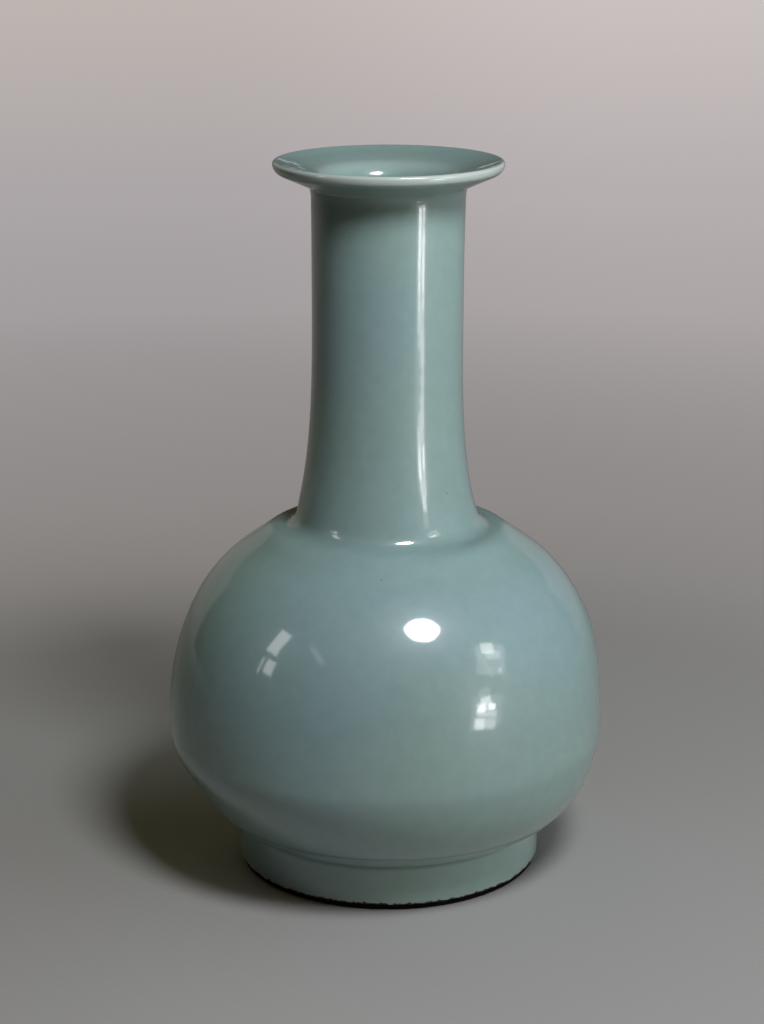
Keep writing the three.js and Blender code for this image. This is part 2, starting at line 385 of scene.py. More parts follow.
def spaced(line, spacing):
    """The same line with its points at an even spacing."""
    whole = run_of(line)[-1]
    count = max(1, round(whole / spacing))
    inner = points_along(line, [whole * step / count for step in range(1, count)])
    return [line[0], *inner, line[-1]]


def straight(start, end, spacing=COVERED_SPACING):
    return spaced([Vector(start), Vector(end)], spacing)


def rounded_join(first, second, size):
    """Two lines that meet at a corner, joined by a curve that leaves each of them at that length."""
    first_run, second_run = run_of(first), run_of(second)
    start, = points_along(first, [first_run[-1] - size])
    end, = points_along(second, [size])
    corner = first[-1]
    bend = [start.lerp(corner, share).lerp(corner.lerp(end, share), share)
            for share in (step / CURVE_STEPS for step in range(CURVE_STEPS + 1))]
    before = [point for point, run in zip(first, first_run) if run < first_run[-1] - size]
    after = [point for point, run in zip(second, second_run) if run > size]
    return [*before, *bend, *after]


def outline(form, glaze):
    """The outside of the glaze, from the standing face to where the lip turns."""
    foot_radius = widest("foot_ring") + glaze.outer
    wall = straight((foot_radius, 0.0), (foot_radius, form.foot_height), MM)
    foot = rounded_join(wall, lower_curve(form, foot_radius), form.foot_corner)
    body = [*foot, *upper_curve(form)[1:]]
    return rounded_join(body, [*neck_curve(form), *mouth_underside(form)], form.shoulder_corner)


def moved_inward(line, depth_at):
    """The line moved into the wall, square to itself, by a depth that depends on the height."""
    moved = []
    for index, point in enumerate(line):
        along = (line[min(index + 1, len(line) - 1)] - line[max(index - 1, 0)]).normalized()
        moved.append(point + Vector((-along.y, along.x)) * depth_at(point.y))
    return moved


def between(line, low, high):
    """The stretch of the line between two levels, cut exactly at both."""
    stretch = []
    for before, after in zip(line, line[1:]):
        for level in (low, high):
            if min(before.y, after.y) < level <= max(before.y, after.y):
                stretch.append(before.lerp(after, (level - before.y) / (after.y - before.y)))
        if low < after.y < high:
            stretch.append(after)
    return stretch


def stretch_of(line, low, high, spacing=COVERED_SPACING):
    return spaced(between(line, low, high), spacing)


class Profile:
    """The lines that all the pieces are turned from, so that each one seats on the next."""

    def __init__(self, form, glaze):
        slope_low, slope_high = form.flare_height, underside_end(form).y

        def glaze_at(level):
            return graded(level, slope_low, slope_high, glaze.outer, glaze.lip)

        def glaze_and_clay_at(level):
            clay = graded(level, form.belly_height, form.shoulder_height,
                          form.body_wall, form.neck_wall)
            at_lip = lip_wall(form) - glaze.lip
            return graded(level, slope_low, slope_high, glaze.outer + clay, at_lip)

        def full_wall_at(level):
            coat = graded(level, slope_low, slope_high, glaze.inner, glaze.lip)
            return glaze_and_clay_at(level) + coat

        self.glaze_outside = outline(form, glaze)
        self.clay_outside = moved_inward(self.glaze_outside, glaze_at)
        wall_start = next(index for index, point in enumerate(self.glaze_outside)
                          if point.x > widest("foot_ring") + glaze.outer + MERGE_DISTANCE)
        self.clay_inside = moved_inward(self.glaze_outside, glaze_and_clay_at)[wall_start:]
        self.glaze_inside = moved_inward(self.glaze_outside, full_wall_at)[wall_start:]
        self.form = form

    def lip_below(self, depth):
        """The lip from its underside to its widest, at that depth under the surface."""
        form = self.form
        return arc(lip_centre(form, form.lip_round), form.lip_round - depth,
                   form.mouth_slope - QUARTER_TURN, 0.0, LIP_STEPS)

    def lip_above(self, depth):
        """The lip from its widest to the dish, at that depth under the surface."""
        form = self.form
        return arc(lip_centre(form, form.lip_edge), form.lip_edge - depth,
                   0.0, form.mouth_slope + QUARTER_TURN, LIP_STEPS)


# From a profile to a fired piece


def shift_stations(form, throwing):
    """Levels of the vase, and how far to the side it leans at each of them."""
    def low_body(share):
        return mix(form.foot_height, form.belly_height, share)

    def high_body(share):
        return mix(form.belly_height, form.shoulder_height, share)

    return (
        (0.0, throwing.foot_shift), (form.foot_height * 0.85, throwing.foot_shift),
        (low_body(0.2), throwing.flank_shift), (low_body(0.35), throwing.flank_shift),
        (low_body(0.9), throwing.belly_shift), (high_body(0.12), throwing.belly_shift),
        (high_body(0.55), throwing.shoulder_shift), (high_body(0.95), throwing.shoulder_shift),
        (mix(form.shoulder_height, form.waist_height, 0.15), throwing.root_shift),
        (form.waist_height, throwing.neck_shift), (form.height, throwing.mouth_shift),
    )


def sideways_shift(level, stations):
    for (low, low_shift), (high, high_shift) in zip(stations, stations[1:]):
        if level <= high:
            return mix(low_shift, high_shift, smooth_share(level, low, high))
    return stations[-1][1]


def throwing_marks(form, throwing):
    """A function that moves a point of the true form to where the potter's hands left it."""
    stations = shift_stations(form, throwing)
    still, height, seam_level = form.neck_radius / 2, form.height, form.flare_height
    unevenness, size = throwing.unevenness, throwing.unevenness_size
    depth, spacing = throwing.ring_depth, throwing.ring_spacing
    seam_height, seam_width = throwing.seam_height, throwing.seam_width
    trim_line, trim_height, trim_width = throwing.trim_line, throwing.trim_height, throwing.trim_width
    collar, collar_radius, collar_width = throwing.collar, throwing.collar_radius, throwing.collar_width
    collar_low = form.shoulder_height - 4 * collar_width
    collar_high = form.shoulder_height + collar_width
    uncut_radius, cut_radius = form.recess_radius, form.belly_radius - form.body_wall * 3
    plain_lip, other_noise = 4 * MM, Vector((7, 3, 5))

    def thrown(point):
        radius = math.hypot(point.x, point.y)
        grip = smooth_share(radius, 0.0, still)
        dent = unevenness * (1 + noise.noise(point / size)) / 2
        drift = noise.noise(point / size + other_noise)
        ring = depth * (1 + math.sin(math.tau * (point.z / spacing + drift))) / 2
        ring *= smooth_share(height - point.z, 0.0, plain_lip)
        seam = seam_height * bell(point.z, seam_level, seam_width)
        cut = trim_line * bell(point.z, trim_height, trim_width)
        cut *= smooth_share(radius, uncut_radius, cut_radius)
        share = 1 - (dent + ring + cut - seam) * grip / max(radius, MM)
        near = smooth_share(point.z, collar_low, collar_low + collar_width)
        near *= 1 - smooth_share(point.z, collar_high, collar_high + collar_width)
        rise = collar * near * bell(radius, collar_radius, collar_width)
        aside = sideways_shift(point.z, stations)
        return Vector((point.x * share + aside, point.y * share, point.z + rise))
    return thrown


def edge_rise(turn, glaze, seed):
    """How far the glaze edge lies above its mean height at that turn round the foot.

    The edge stands low at the front and the back, where the vase was dipped, and is ragged all round.
    """
    round_foot = Vector((math.cos(turn), math.sin(turn), seed))
    dip = math.cos(2 * turn)
    drift = 2 * noise.noise(round_foot * DRIFT_WAVES)
    ragged = noise.noise(round_foot * RAGGED_WAVES) + noise.noise(round_foot * FINE_WAVES)
    wander = DIP_SHARE * dip + DRIFT_SHARE * drift
    return glaze.edge_wander * wander + glaze.edge_raggedness * ragged


def crawl(mesh, low, high, glaze, seed):
    """Moves the glaze's edge up and down, in full below the low level and not above the high one."""
    for vert in mesh.verts:
        hold = 1 - smooth_share(vert.co.z, low, high)
        vert.co.z += hold * edge_rise(math.atan2(vert.co.y, vert.co.x), glaze, seed)


def turned(profile, segments):
    """A bmesh of the closed profile spun a short way round the axis, and doubled to the full turn."""
    mesh = bmesh.new()
    verts = [mesh.verts.new((point.x, 0.0, point.y)) for point in profile]
    on_axis = profile[0].x < MERGE_DISTANCE and profile[-1].x < MERGE_DISTANCE
    pairs = list(zip(verts, verts[1:])) if on_axis else list(zip(verts, verts[1:] + verts[:1]))
    edges = [mesh.edges.new(pair) for pair in pairs]
    turn = math.tau / 2 ** DOUBLINGS
    bmesh.ops.spin(mesh, geom=[*verts, *edges], cent=(0, 0, 0), axis=(0, 0, 1), dvec=(0, 0, 0),
                   angle=turn, steps=segments // 2 ** DOUBLINGS)
    for doubling in range(DOUBLINGS):
        copy = bmesh.ops.duplicate(mesh, geom=[*mesh.verts, *mesh.edges, *mesh.faces])["geom"]
        bmesh.ops.rotate(mesh, verts=[part for part in copy if isinstance(part, bmesh.types.BMVert)],
                         cent=(0, 0, 0), matrix=Matrix.Rotation(turn * 2 ** doubling, 3, "Z"))
    bmesh.ops.remove_doubles(mesh, verts=mesh.verts, dist=MERGE_DISTANCE)
    bmesh.ops.recalc_face_normals(mesh, faces=mesh.faces)
    return mesh


def mark_glaze(mesh, depth_at, distance_at):
    """Stores the depth of the glaze at each point, and the distance from its edge in millimetres.

    The depth is 0 where the glaze runs thin, 1 as usual, and up to 2 where it gathers. Shade is painted
    with it under the mouth and in the creases at the foot, and light in the throat, where it is
    lowered.
    """
    for name, value_at in ((GLAZE_DEPTH, depth_at), (EDGE_DISTANCE, distance_at)):
        layer = mesh.verts.layers.float.new(name)
        for vert in mesh.verts:
            vert[layer] = value_at(vert.co)


def fire(mesh, node, material):
    """Puts the piece in the scene, as the potter's hands left it, in place of its node."""
    scene = bpy.context.scene
    thrown = throwing_marks(scene.vase_form, scene.vase_throwing)
    for vert in mesh.verts:
        vert.co = thrown(vert.co)
    for face in mesh.faces:
        face.smooth = True
    name = "fired_" + node
    data = bpy.data.meshes.new(name)
    mesh.to_mesh(data)
    mesh.free()
    data.set_sharp_from_angle(angle=SHARP_ANGLE)
    data.materials.append(material)
    piece = bpy.data.objects.new(name, data)
    scene.collection.objects.link(piece)
    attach(piece, BODY)
    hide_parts(node)


# Materials


def new_material(name):
    """A material without nodes, and the function that adds them."""
    material = bpy.data.materials.get(name) or bpy.data.materials.new(name)
    material.use_nodes = True
    material.node_tree.nodes.clear()
    return material, partial(add_node, material.node_tree)


def add_node(tree, kind, inputs=None, stops=None, **settings):
    """Adds a node, sets it up, and gives each named or numbered input its value or its link.

    An input that is given a node takes the first output that the node's settings leave in use.
    """
    node = tree.nodes.new("ShaderNode" + kind)
    for name, value in settings.items():
        setattr(node, name, value)
    for socket, value in (inputs or {}).items():
        if isinstance(value, bpy.types.Node):
            value = next(output for output in value.outputs if output.enabled)
        if isinstance(value, bpy.types.NodeSocket):
            tree.links.new(value, node.inputs[socket])
        else:
            node.inputs[socket].default_value = value
    if stops:
        ramp = node.color_ramp.elements
        while len(ramp) < len(stops):
            ramp.new(1.0)
        for element, (place, stop_colour) in zip(ramp, stops):
            element.position = place
            element.color = stop_colour
    return node


def grey(value):
    return (value, value, value, 1.0)


def shaded(add, base, pattern, darkest):
    """The base colour, darker by up to that share in the hollows of the pattern."""
    shade = add("ValToRGB", {"Fac": pattern}, stops=((0.3, grey(darkest)), (0.7, grey(1.0))))
    return add("Mix", {SHARE: 1.0, FIRST: base, SECOND: shade}, data_type="RGBA", blend_type="MULTIPLY")


def celadon_glaze(colours, glaze):
    """Iron-bearing feldspathic glaze fired in reduction: a cool blue-green glass over pale clay.

    The eye sees a satin depth under a wet, sharp gloss, paler on the lip where it ran thin, and paler
    in the throat as painted light, deeper where it gathered and darker as painted shade under the mouth
    and in the creases at the foot, scorched tan along its edge at the foot, with a few specks and
    pinholes.
    """
    material, add = new_material("celadon_glaze")
    place = add("TexCoord").outputs["Object"]

    # The fired colour drifts between blue and green, and is faintly cloudy
    drift = add("TexNoise", {
        "Vector": place, "Scale": 1 / TONE_DRIFT, "Detail": 2.0, "Roughness": 0.45})
    tone = add("MapRange", {"Value": drift, "From Min": 0.38, "From Max": 0.62})
    body = add("Mix", {SHARE: tone, FIRST: colours.celadon, SECOND: colours.celadon_green},
               data_type="RGBA")
    clouds = add("TexNoise", {"Vector": place, "Scale": 1 / CLOUD, "Detail": 3.0, "Roughness": 0.6})
    clouded = shaded(add, body, clouds, 0.93)

    # It is paler where it ran thin and, as painted light, in the throat; deeper where it gathered, and
    # darker as painted shade under the mouth and in the creases at the foot
    depth = add("Attribute", attribute_name=GLAZE_DEPTH).outputs["Fac"]
    thin = add("MapRange", {"Value": depth, "From Min": 1.0, "From Max": 0.0})
    pooled = add("MapRange", {"Value": depth, "From Min": 1.0, "From Max": 2.0})

    # One cell in five has a speck of iron at its middle
    cells = add("TexVoronoi", {"Vector": place, "Scale": 1 / SPECK_SPACING, "Randomness": 1.0})
    chance = add("SeparateColor", {"Color": cells.outputs["Color"]})
    chosen = add("Math", {0: chance.outputs["Red"], 1: 0.8}, operation="GREATER_THAN")
    near = add("MapRange", {"Value": cells, "From Min": 0.05, "From Max": 0.025})
    speck = add("Math", {0: chosen, 1: near}, operation="MULTIPLY")
    speck_tint = add("Math", {0: speck, 1: 0.75}, operation="MULTIPLY")

    # At the foot it has a broken edge, scorched in blotches, and bare clay beyond that
    edge = add("Attribute", attribute_name=EDGE_DISTANCE).outputs["Fac"]
    breakup = add("TexNoise", {
        "Vector": place, "Scale": 1 / CRAWL_SIZE, "Detail": 4.0, "Roughness": 0.65})
    ragged = add("Math", {0: breakup, 1: -2 * BREAKUP_REACH, 2: BREAKUP_REACH - glaze.crumble / MM},
                 operation="MULTIPLY_ADD")
    edge_place = add("Math", {0: edge, 1: ragged}, operation="ADD")
    blotches = add("TexNoise", {"Vector": place, "Scale": 1 / BLOTCH_SIZE, "Detail": 2.0})
    blotch = add("MapRange", {"Value": blotches, "From Min": 0.42, "From Max": 0.6, "To Min": 0.2})
    scorch = add("MapRange", {"Value": edge_place, "From Min": 0.7, "From Max": 0.1, "To Max": blotch})
    crawled = add("MapRange", {"Value": edge_place, "From Min": 0.08, "From Max": -0.08})

    # Each of these colours lies over the last
    coat = clouded
    for share, colour_there in ((thin, colours.celadon_thin), (pooled, colours.celadon_pooled),
                                (speck_tint, colours.iron_speck), (scorch, colours.glaze_edge),
                                (crawled, colours.bare_clay)):
        coat = add("Mix", {SHARE: share, FIRST: coat, SECOND: colour_there}, data_type="RGBA")

    # The surface is like fine orange peel, with pits at the specks that are twice as deep
    peel = add("TexNoise", {"Vector": place, "Scale": 1 / ORANGE_PEEL, "Detail": 2.0})
    pitted = add("Math", {0: speck, 1: -2.0, 2: peel}, operation="MULTIPLY_ADD")
    relief = add("Bump", {"Strength": 0.12, "Distance": 0.05 * MM, "Height": pitted})
    shader = add("BsdfPrincipled", {
        "Base Color": coat, "Roughness": 0.38, "IOR": 1.5, "Specular IOR Level": 0.27,
        "Coat Weight": 1.0, "Coat Roughness": 0.075, "Coat IOR": 1.5,
        "Normal": relief, "Coat Normal": relief})
    add("OutputMaterial", {"Surface": shader})
    return material


def bare_stoneware(colours):
    """Iron-rich stoneware, trimmed and left bare: matt, almost black, with a sandy grain."""
    material, add = new_material("bare_foot_clay")
    place = add("TexCoord").outputs["Object"]
    patches = add("TexNoise", {
        "Vector": place, "Scale": 1 / WORN_PATCH, "Detail": 4.0, "Roughness": 0.65})
    worn = add("MapRange", {"Value": patches, "From Min": 0.5, "From Max": 0.75})
    grain = add("TexNoise", {"Vector": place, "Scale": 1 / BARE_GRAIN, "Detail": 2.0})
    clay = add("Mix", {SHARE: worn, FIRST: colours.bare_clay, SECOND: colours.bare_clay_pale},
               data_type="RGBA")
    relief = add("Bump", {"Strength": 0.6, "Distance": 0.2 * MM, "Height": grain})
    shader = add("BsdfPrincipled", {
        "Base Color": clay, "Roughness": 0.85, "IOR": 1.45, "Specular IOR Level": 0.1,
        "Normal": relief})
    add("OutputMaterial", {"Surface": shader})
    return material


def covered_clay(name, base, grain_size, contrast):
    """Pale fired clay under the glaze: matt, with a grain of fine sand."""
    material, add = new_material(name)
    place = add("TexCoord").outputs["Object"]
    grain = add("TexNoise", {"Vector": place, "Scale": 1 / grain_size, "Detail": 3.0})
    clay = shaded(add, base, grain, 1 - contrast)
    relief = add("Bump", {"Strength": 0.4, "Distance": 0.1 * MM, "Height": grain})
    shader = add("BsdfPrincipled", {"Base Color": clay, "Roughness": 0.9, "Normal": relief})
    add("OutputMaterial", {"Surface": shader})
    return material


def stoneware_clay(colours):
    """The clay that the vase was thrown from, with a grain that shows."""
    return covered_clay("stoneware_clay", colours.stoneware, CLAY_GRAIN, 0.2)


def luting_slip(colours):
    """The same clay, sieved for the joints, so it is finer and more even."""
    return covered_clay("luting_slip", colours.slip, SLIP_GRAIN, 0.1)


# The eye sees the paper fade into a pale ground that lights nothing, and the glaze mirrors part of it


def eye_and_gloss(add):
    """1 for what the camera sees, straight or through glass, and 1 for what a gloss mirrors."""
    path = add("LightPath")
    eye = add("Math", {0: path.outputs["Is Camera Ray"], 1: path.outputs["Is Transmission Ray"]},
              operation="MAXIMUM")
    return eye, path.outputs["Is Glossy Ray"]


def pale_paper(colours, stage):
    """Matt photographic paper, which fades into the pale ground towards its rim."""
    material, add = new_material("pale_paper")
    place = add("TexCoord").outputs["Object"]
    fibre = add("TexNoise", {"Vector": place, "Scale": 1 / PAPER_FIBRE, "Detail": 2.0})
    sheet = shaded(add, colours.paper, fibre, 0.98)
    matt = add("BsdfDiffuse", {"Color": sheet})

    # Far behind the vase, the pale ground is a little darker on the left: painted shade on the backdrop
    parts = add("SeparateXYZ", {"Vector": place})
    right = add("MapRange", {"Value": parts.outputs["X"], "From Min": -0.19, "From Max": 0.24},
                interpolation_type="SMOOTHSTEP")
    near = add("MapRange", {"Value": parts.outputs["Y"], "From Min": 0.85, "From Max": 0.45})
    even = add("Math", {0: right, 1: near}, operation="MAXIMUM")
    pale = add("Mix", {SHARE: even, FIRST: colours.surround_left, SECOND: colours.surround},
               data_type="RGBA")
    glow = add("Emission", {"Color": pale, "Strength": 1.0})

    # The paper fades outwards, and what is mirrored of its glow lies behind the vase
    reach = add("VectorMath", {0: place}, operation="LENGTH")
    outward = add("Math", {0: reach, 1: stage.paper_radius}, operation="DIVIDE")
    away = add("ValToRGB", {"Fac": outward},
               stops=[(radius, grey(share)) for radius, share in PAPER_FADE])
    behind = add("MapRange", {
        "Value": parts.outputs["Y"], "From Min": 0.2, "From Max": 0.8, "To Max": MIRRORED_SHARE})
    eye, gloss = eye_and_gloss(add)
    mirrored = add("Math", {0: gloss, 1: behind}, operation="MULTIPLY")
    seen = add("Math", {0: eye, 1: mirrored}, operation="MAXIMUM")
    share = add("Math", {0: away, 1: seen}, operation="MULTIPLY")
    both = add("MixShader", {0: share, 1: matt, 2: glow})
    add("OutputMaterial", {"Surface": both})
    return material


def studio_world(colours):
    """A dark room, whose pale ground shows to the camera all round."""
    world = bpy.data.worlds.new("studio")
    world.use_nodes = True
    world.node_tree.nodes.clear()
    add = partial(add_node, world.node_tree)
    direction = add("TexCoord").outputs["Generated"]
    parts = add("SeparateXYZ", {"Vector": direction})
    across, along, up = (parts.outputs[axis] for axis in "XYZ")

    # To the eye: paler above and a little darker on the left, painted light and shade on the backdrop
    climb = add("MapRange", {"Value": up, "From Min": -0.15, "From Max": -0.08})
    right = add("MapRange", {"Value": across, "From Min": -0.08, "From Max": 0.1},
                interpolation_type="SMOOTHSTEP")
    ground_low = add("Mix", {SHARE: right, FIRST: colours.surround_left, SECOND: colours.surround},
                     data_type="RGBA")
    ground_high = add("Mix", {
        SHARE: right, FIRST: colours.surround_top_left, SECOND: colours.surround_top}, data_type="RGBA")
    ground = add("Mix", {SHARE: climb, FIRST: ground_low, SECOND: ground_high}, data_type="RGBA")

    # To the gloss: the part of it low behind the vase, on both sides
    aside = add("Math", {0: across}, operation="ABSOLUTE")
    eye, mirrored = eye_and_gloss(add)
    for part, start, end in ((up, 0.33, 0.27), (along, 0.66, 0.72), (aside, 0.17, 0.27)):
        there = add("MapRange", {"Value": part, "From Min": start, "From Max": end},
                    interpolation_type="SMOOTHSTEP")
        mirrored = add("Math", {0: mirrored, 1: there}, operation="MULTIPLY")
    dimmed = add("Math", {0: mirrored, 1: MIRRORED_SHARE}, operation="MULTIPLY")
    share = add("Math", {0: eye, 1: dimmed}, operation="MAXIMUM")

    # Elsewhere: the room, with a grey wall on the right
    wall = add("MapRange", {"Value": across, "From Min": 0.1, "From Max": 1.0},
               interpolation_type="SMOOTHSTEP")
    around = add("Mix", {SHARE: wall, FIRST: colours.room, SECOND: colours.right_wall},
                 data_type="RGBA")
    light = add("Mix", {SHARE: share, FIRST: around, SECOND: ground}, data_type="RGBA")
    shader = add("Background", {"Color": light, "Strength": 1.0})
    add("OutputWorld", {"Surface": shader})
    return world


# The pieces


# A band where the glaze lies deeper: gathered glaze, and at the foot's joint, the trim line and under
# the mouth also painted shade
Pool = namedtuple("Pool", "height width share")


def depth_of_glaze(form, throwing):
    """How deep the glaze lies: it runs off the lip and gathers in the corners of the form.

    The bands at the joint of the foot, at the trim line and under the mouth are also painted shade.
    """
    pools = (Pool(height=form.foot_height, width=1.1 * MM, share=1.1),
             Pool(height=throwing.trim_height, width=throwing.trim_width, share=0.7),
             Pool(height=form.shoulder_height, width=2.5 * MM, share=0.25),
             Pool(height=form.flare_height - 3 * MM, width=5 * MM, share=0.35))
    lip_low = form.height - form.lip_edge - THIN_LIP_HEIGHT
    lip_inside, lip_outside = form.mouth_radius - THIN_LIP_WIDTH, form.mouth_radius - THIN_LIP_WIDTH / 2

    def depth_at(point):
        thin = smooth_share(point.z, lip_low, lip_low + THIN_LIP_EASE)
        thin *= smooth_share(math.hypot(point.x, point.y), lip_inside, lip_outside)
        pooled = sum(pool.share * bell(point.z, pool.height, pool.width) for pool in pools)
        return 1 - thin + pooled * (1 - thin)
    return depth_at


class VASE_OT_foot_ring(bpy.types.Operator):
    """Turns the bare foot ring that the vase stands on"""

    bl_idname = "vase.foot_ring"
    bl_label = "Foot Ring"

    def execute(self, context):
        scene = context.scene
        form = scene.vase_form
        outside, inside = widest("foot_ring"), form.recess_radius
        chamfer, high = form.standing_chamfer, top("foot_ring")
        corners = [Vector(corner) for corner in (
            (inside, high), (inside, chamfer), (inside + chamfer, 0.0),
            (outside - chamfer, 0.0), (outside, chamfer), (outside, high))]
        ring = corners[:3]
        for side in zip(corners[2:], corners[3:]):
            ring = rounded_join(ring, side, chamfer / 3)
        profile = [*spaced(ring, RING_SPACING), *straight(ring[-1], ring[0])[1:-1]]
        mesh = turned(profile, SHOWN_SEGMENTS)
        fire(mesh, "foot_ring", bare_stoneware(scene.vase_colours))
        return {"FINISHED"}


class VASE_OT_thrown_sections(bpy.types.Operator):
    """Throws the two halves of the body, the neck and the mouth, which the glaze covers"""

    bl_idname = "vase.thrown_sections"
    bl_label = "Thrown Sections"

    def execute(self, context):
        scene = context.scene
        form = scene.vase_form
        lines = Profile(form, scene.vase_glaze)
        clay = stoneware_clay(scene.vase_colours)

        def wall(node):
            low, high = bottom(node), top(node)
            return [*stretch_of(lines.clay_outside, low, high),
                    *stretch_of(lines.clay_inside, low, high)[::-1]]

        low, high = bottom("lower_body"), top("lower_body")
        recess, floor = form.recess_radius, form.floor_height
        lip, mouth_low = scene.vase_glaze.lip, bottom("mouth_rim")
        sections = {
            "lower_body": [
                Vector((0.0, low)), Vector((recess, low)),
                *stretch_of(lines.clay_outside, low, high),
                *stretch_of(lines.clay_inside, floor, high)[::-1],
                Vector((recess, floor)), Vector((0.0, floor)),
            ],
            "upper_body": wall("upper_body"),
            "neck": wall("neck"),
            "mouth_rim": [
                *stretch_of(lines.clay_outside, mouth_low, form.height, MM)[:-1],
                *lines.lip_below(lip)[:-1],
                *lines.lip_above(lip)[:-1],
                *stretch_of(lines.clay_inside, mouth_low, form.height, MM)[::-1],
            ],
        }
        for node, profile in sections.items():
            fire(turned(profile, COVERED_SEGMENTS), node, clay)
        return {"FINISHED"}


class VASE_OT_luting_slips(bpy.types.Operator):
    """Lays the slip that joins the foot and the thrown sections"""

    bl_idname = "vase.luting_slips"
    bl_label = "Luting Slips"

    def execute(self, context):
        scene = context.scene
        form = scene.vase_form
        lines = Profile(form, scene.vase_glaze)
        slip = luting_slip(scene.vase_colours)
        for node in ("foot_seam_slip", "belly_seam_slip", "shoulder_seam_slip", "mouth_seam_slip"):
            low, high = bottom(node), top(node)
            outside = between(lines.clay_outside, low, high)
            inside = between(lines.clay_inside, low, high)
            if node == "foot_seam_slip":
                inside = [Vector((form.recess_radius, low)), Vector((form.recess_radius, high))]
            profile = [outside[0], outside[-1], inside[-1], inside[0]]
            fire(turned(profile, COVERED_SEGMENTS), node, slip)
        return {"FINISHED"}


class VASE_OT_outer_glaze(bpy.types.Operator):
    """Pours the glaze over the outside, from its ragged edge at the foot to the lip"""

    bl_idname = "vase.outer_glaze"
    bl_label = "Outer Glaze"

    def execute(self, context):
        scene = context.scene
        form, glaze, throwing = scene.vase_form, scene.vase_glaze, scene.vase_throwing
        lines = Profile(form, glaze)
        edge = glaze.bare_outside
        bead_top = edge + glaze.outer
        bead_centre = Vector((widest("foot_ring"), bead_top))
        bead = arc(bead_centre, glaze.outer, -QUARTER_TURN, 0.0, BEAD_STEPS)
        trim_low = throwing.trim_height - TRIM_REACH * throwing.trim_width
        trim_high = throwing.trim_height + TRIM_REACH * throwing.trim_width
        profile = [
            *bead[:-1],
            *stretch_of(lines.glaze_outside, bead_top, trim_low, SHOWN_SPACING)[:-1],
            *stretch_of(lines.glaze_outside, trim_low, trim_high, TRIM_SPACING)[:-1],
            *stretch_of(lines.glaze_outside, trim_high, form.height, SHOWN_SPACING)[:-1],
            *lines.lip_below(0.0),
            *lines.lip_below(glaze.lip)[::-2],
            *stretch_of(lines.clay_outside, edge, form.height)[::-1][1:-1],
        ]
        mesh = turned(profile, SHOWN_SEGMENTS)

        def edge_distance(point):
            return (point.z - edge) / MM if point.z < form.foot_height else FAR_FROM_EDGE

        mark_glaze(mesh, depth_of_glaze(form, throwing), edge_distance)
        crawl(mesh, bead_top, form.foot_height / 2, glaze, seed=0.0)
        fire(mesh, "outer_glaze", celadon_glaze(scene.vase_colours, glaze))
        return {"FINISHED"}


class VASE_OT_inner_glaze(bpy.types.Operator):
    """Pours the glaze that lines the vase and rolls over the lip"""

    bl_idname = "vase.inner_glaze"
    bl_label = "Inner Glaze"

    def execute(self, context):
        scene = context.scene
        form, glaze = scene.vase_form, scene.vase_glaze
        lines = Profile(form, glaze)
        floor, recess = form.floor_height, form.recess_radius
        surface = floor + glaze.inner
        profile = [
            *straight((0.0, floor), (recess, floor)),
            *stretch_of(lines.clay_inside, floor, form.height)[1:-1],
            *lines.lip_above(glaze.lip)[::-2],
            *lines.lip_above(0.0),
            *stretch_of(lines.glaze_inside, surface, form.height, SHOWN_SPACING)[::-1][1:-1],
            *straight((recess, surface), (0.0, surface)),
        ]
        mesh = turned(profile, SHOWN_SEGMENTS)
        depth_at = depth_of_glaze(form, scene.vase_throwing)
        # The glaze is painted paler in the throat: painted light that brightens the dish
        throat = form.flare_height + THROAT_RISE

        def depth_inside(point):
            return depth_at(point) - THROAT_SHARE * bell(point.z, throat, THROAT_WIDTH)

        mark_glaze(mesh, depth_inside, lambda point: FAR_FROM_EDGE)
        fire(mesh, "inner_glaze", celadon_glaze(scene.vase_colours, glaze))
        return {"FINISHED"}


class VASE_OT_base_glaze(bpy.types.Operator):
    """Pours the glaze that lines the recess under the base"""

    bl_idname = "vase.base_glaze"
    bl_label = "Base Glaze"

    def execute(self, context):
        scene = context.scene
        form, glaze = scene.vase_form, scene.vase_glaze
        recess, high = form.recess_radius, form.recess_depth
        low, wall = high - glaze.base, recess - glaze.base
        edge = glaze.bare_inside
        bead_top = edge + glaze.base
        bead = arc(Vector((recess, bead_top)), glaze.base, math.pi, 3 * QUARTER_TURN, BEAD_STEPS)
        corner = Vector((wall, low))
        surface = rounded_join([Vector((0.0, low)), corner], [corner, bead[0]], RECESS_CORNER)
        profile = [*spaced(surface, SHOWN_SPACING)[:-1], *bead,
                   *straight((recess, edge), (recess, high))[1:],
                   *straight((recess, high), (0.0, high))[1:]]
        mesh = turned(profile, SHOWN_SEGMENTS)

        def depth_at(point):
            radius = math.hypot(point.x, point.y)
            return 1 + RECESS_POOL * smooth_share(radius, wall - RECESS_POOL_WIDTH, wall)

        mark_glaze(mesh, depth_at, lambda point: (point.z - edge) / MM)
        crawl(mesh, bead_top, low, glaze, seed=4.0)
        fire(mesh, "base_glaze", celadon_glaze(scene.vase_colours, glaze))
        return {"FINISHED"}


# The stage. A lamp stands so many metres from a point on the vase, at a turn to the right of the
# camera's side and a rise above level, spans so many degrees across and up, and is turned by its roll.
# A pane's glow is its own brightness. The other lamps get theirs from the stage's powers.

Lamp = namedtuple("Lamp", "name distance turn rise across up roll glow")

ON_BODY_FRONT = Vector((11, -62, 104)) * MM
ON_BODY_RIGHT = Vector((31, -68, 74)) * MM
ON_SHOULDER_RIGHT = Vector((34, -60, 95)) * MM
ON_SHOULDER_LEFT = Vector((-36, -58, 95)) * MM
ON_DISH_LEFT = Vector((-30, 3, 248)) * MM
ON_DISH_RIGHT = Vector((33, -2, 248)) * MM

